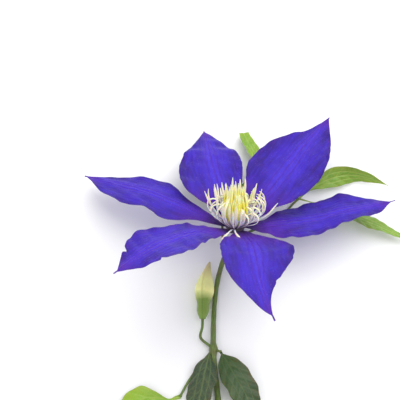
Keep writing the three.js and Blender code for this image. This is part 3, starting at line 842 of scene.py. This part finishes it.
def stamen_shape(whorl, azimuth, chance):
    """How a stamen of a whorl grows: leaning out, then upright, and often curled over at its head."""
    side = math.cos(math.radians(azimuth))
    front = max(0, -math.sin(math.radians(azimuth))) ** 0.6
    back = max(0, math.sin(math.radians(azimuth)))
    lean = whorl["lean"] + TILT * side - STAND * front + chance.uniform(-7, 7)
    lean = min(lean, FURTHEST_LEAN)
    bow = whorl["bow"] * chance.uniform(0.7, 1.15)
    leans = [lean + 5, lean, lean - 0.3 * bow, lean - 0.7 * bow, lean - bow, lean - bow]
    if abs(side) > 0.45 and whorl["lean"] > 30 and chance.uniform() < 0.75 + 0.2 * side:
        curl = chance.uniform(*CURL)
        leans[3:] = [lean - bow - 0.15 * curl, lean - bow - 0.6 * curl, lean - bow - curl]
    else:
        leans[-1] += chance.uniform(-18, 24)
    shorter = 1 - whorl["short"] * front - BACK_SHORTER * back
    return {"length": whorl["length"] * chance.uniform(0.86, 1.12) * shorter,
            "rise": [90 - lean for lean in leans],
            "swerve": [0, chance.uniform(-8, 8), chance.uniform(-16, 16), chance.uniform(-30, 30)]}


def join(parts):
    """Several solids' points, faces and facts as one list of each."""
    start, points, faces, facts = 0, [], [], []
    for part_points, part_faces, part_facts in parts:
        points.append(part_points)
        facts.append(part_facts)
        faces += [[corner + start for corner in face] for face in part_faces]
        start += len(part_points)
    return np.vstack(points), faces, np.vstack(facts)


def stamen_finish(name, foot_shade, middle, anther, anther_shade):
    """Silky filament below, darkened at its foot with painted shade, and pollen-dusted anther above."""
    finish, shader = new_finish(name, 0.55, Specular_IOR_Level=0.35, Subsurface_Weight=0.3,
                                Subsurface_Scale=0.001, Sheen_Weight=0.1)
    share = fact(finish, "rod")[2]
    where = add(finish, "TexCoord").outputs["Object"]
    grain = noise(finish, where, 1600.0, 3.0)
    mottle = noise(finish, where, 260.0, 3.0)
    # The colour at the foot is painted shade, where the threads crowd together on the cone.
    colour = blended(finish, between(finish, share, 0.06, 0.42), foot_shade, middle)
    pollen = blended(finish, between(finish, mottle, 0.35, 0.65), anther, anther_shade)
    colour = blended(finish, between(finish, share, 0.55, 0.68), colour, pollen)
    paint(finish, shader, colour)
    bumpy(finish, shader, grain, 0.4, 0.00012)
    return finish


# The first colour of each finish is painted shade at the threads' feet.
stamen_cream = stamen_finish("stamen cream", (0.30, 0.22, 0.42, 1), (0.88, 0.86, 0.90, 1),
                             (0.92, 0.89, 0.72, 1), (0.88, 0.82, 0.56, 1))
stamen_young = stamen_finish("young stamen", (0.34, 0.28, 0.36, 1), (0.80, 0.80, 0.62, 1),
                             (0.86, 0.85, 0.42, 1), (0.84, 0.80, 0.52, 1))

# Two threads have dropped forward between the front tepals.
STRAYS = {
    "stamen_outer_11": [
        {"azimuth": 252, "length": 15, "rise": [34, 14, 0, -14], "swerve": [0, -4, -14, -20]},
        {"azimuth": 264, "length": 11, "rise": [36, 12, -4, -10], "swerve": [0, 10, 30, 60]},
    ],
}

for whorl_seed, (name, whorl) in enumerate(WHORLS.items()):
    chance = np.random.default_rng(STAMEN_SEED + whorl_seed)
    for i in range(whorl["count"]):
        node = f"stamen_{name}_{i + 1:02d}"
        threads = []
        for strand in range(whorl["tuft"]):
            step = 360 / whorl["count"]
            azimuth = whorl["turn"] + step * (i + (strand / whorl["tuft"] if strand else 0))
            azimuth += chance.uniform(-0.12, 0.12) * step
            shape = stamen_shape(whorl, azimuth, chance)
            threads.append(stamen(whorl["foot"] - TUFT_DEPTH * strand, azimuth, shape, chance))
        for stray in STRAYS.get(node, []):
            threads.append(stamen(STRAY_FOOT, stray["azimuth"], stray, chance))
        points, faces, place = join(threads)
        finish = stamen_young if name == "inner" else stamen_cream
        make_piece(node + "_thread", points, faces, finish, "stamen", [node], rod=place)

# ---- The pistil --------------------------------------------------------------------------------
# A tight bundle of silky styles, yellow green and packed side by side, with their pale tips free.
# They grow from the top of the cone, round a plump core that fills the gaps between them.

PISTIL_HEIGHT = 20.5
PISTIL_FOOT = 2.2
PISTIL_SEED = 90
STYLES = 96
CORE_RADIUS = 4.4
CORE_HEIGHT = 0.86 * PISTIL_HEIGHT
CORE_ROWS = 40

chance = np.random.default_rng(PISTIL_SEED)
style_parts = []
for i in range(STYLES):
    spread = math.sqrt((i + 0.5) / STYLES)
    azimuth = math.degrees(i * math.pi * (3 - math.sqrt(5)))
    shape = {"length": PISTIL_HEIGHT * chance.uniform(0.8, 1.06) * (1.04 - 0.16 * spread),
             "rise": [90 - 34 * spread, 90 - 22 * spread, 90 + chance.uniform(-3, 4),
                      90 + 18 * spread + chance.uniform(-6, 6)],
             "swerve": [0, chance.uniform(-12, 12), chance.uniform(-25, 25)]}
    turned = math.radians(azimuth)
    foot = PISTIL_FOOT * spread
    start = [foot * math.cos(turned), foot * math.sin(turned), cone_height(foot)]
    frames = grow(start, {**shape, "azimuth": azimuth}, 30)
    wide = smooth([0.34, 0.62, 0.76, 0.72, 0.58, 0.4, 0.1], frames["share"]) * chance.uniform(0.85, 1.15)
    style_parts.append(rod(in_bloom(frames), wide * MM, 0.8 * wide * MM, sides=8))
core = grow([0, 0, RECEPTACLE_RIM], {"azimuth": 0, "length": CORE_HEIGHT, "rise": [90]}, CORE_ROWS)
core_width = CORE_RADIUS * smooth([0.5, 0.9, 1, 0.96, 0.84, 0.62, 0.1], core["share"]) * MM
style_parts.append(rod(in_bloom(core), core_width, core_width, sides=32))
points, faces, place = join(style_parts)
style_yellow, style_shader = new_finish("style yellow", 0.5, Specular_IOR_Level=0.35,
                                        Subsurface_Weight=0.35, Subsurface_Scale=0.0015,
                                        Sheen_Weight=0.2)
style_share = fact(style_yellow, "rod")[2]
style_mottle = noise(style_yellow, add(style_yellow, "TexCoord").outputs["Object"], 300.0, 4.0)
style_colour = blended(style_yellow, between(style_yellow, style_share, 0.02, 0.24),
                       (0.62, 0.58, 0.50, 1), (0.95, 0.85, 0.10, 1))
style_colour = blended(style_yellow, between(style_yellow, style_mottle, 0.4, 0.7), style_colour,
                       (0.97, 0.90, 0.20, 1))
style_colour = blended(style_yellow, between(style_yellow, style_share, 0.8, 0.98), style_colour,
                       (0.93, 0.91, 0.66, 1))
paint(style_yellow, style_shader, style_colour)
bumpy(style_yellow, style_shader, style_mottle, 0.4, 0.0002)
make_piece("pistil_styles", points, faces, style_yellow, "pistil", ["pistil"], rod=place)

# ---- The table, the light and the camera -------------------------------------------------------
# The cut stem lies on a pale matte table top. Two large soft lamps light it from above, and the camera
# looks steeply down on it from the near side.

TABLE_REACH = 3
ROOM_LIGHT = 0.76
CAMERA_RISE = math.radians(67)
CAMERA_LENS = 85
CAMERA_REACH = 0.472
CAMERA_ASIDE = 0.0177
CAMERA_ABOVE = 0.0135

floor_mesh = bpy.data.meshes.new("table_top")
floor_corners = [(TABLE_REACH * x, TABLE_REACH * y, 0) for x, y in ((-1, -1), (1, -1), (1, 1), (-1, 1))]
floor_mesh.from_pydata(floor_corners, [], [(0, 1, 2, 3)])
floor = bpy.data.objects.new("table_top", floor_mesh)
bpy.context.scene.collection.objects.link(floor)
table_white, table_shader = new_finish("table white", 0.8, Specular_IOR_Level=0.1)
table_shader.inputs["Base Color"].default_value = (0.95, 0.95, 0.95, 1)
floor_mesh.materials.append(table_white)


def soft_lamp(name, place, size, power):
    """A square lamp that faces the bloom."""
    light = bpy.data.lights.new(name, "AREA")
    light.size = size
    light.energy = power
    lamp = bpy.data.objects.new(name, light)
    lamp.location = Vector(bloom_middle) + Vector(place)
    lamp.rotation_euler = (-Vector(place)).to_track_quat("-Z", "Y").to_euler()
    bpy.context.scene.collection.objects.link(lamp)


soft_lamp("key_lamp", (0.3, 0.3, 0.8), 1.0, 7)
soft_lamp("fill_lamp", (-0.5, -0.4, 0.7), 0.8, 1.2)

world = bpy.data.worlds.new("room")
world.use_nodes = True
room = world.node_tree.nodes["Background"]
room.inputs["Color"].default_value = (1, 1, 1, 1)
room.inputs["Strength"].default_value = ROOM_LIGHT
bpy.context.scene.world = world
bpy.context.scene.view_settings.view_transform = "Standard"

camera_lens = bpy.data.cameras.new("camera")
camera_lens.lens = CAMERA_LENS
camera_lens.sensor_width = 36
camera = bpy.data.objects.new("camera", camera_lens)
look = Vector((0, math.cos(CAMERA_RISE), -math.sin(CAMERA_RISE)))
overhead = Vector((0, math.sin(CAMERA_RISE), math.cos(CAMERA_RISE)))
aim = Vector(bloom_middle) + CAMERA_ABOVE * overhead - Vector((CAMERA_ASIDE, 0, 0))
camera.location = aim - look * CAMERA_REACH
camera.rotation_mode = "QUATERNION"
camera.rotation_quaternion = look.to_track_quat("-Z", "Y")
bpy.context.scene.collection.objects.link(camera)
bpy.context.scene.camera = camera
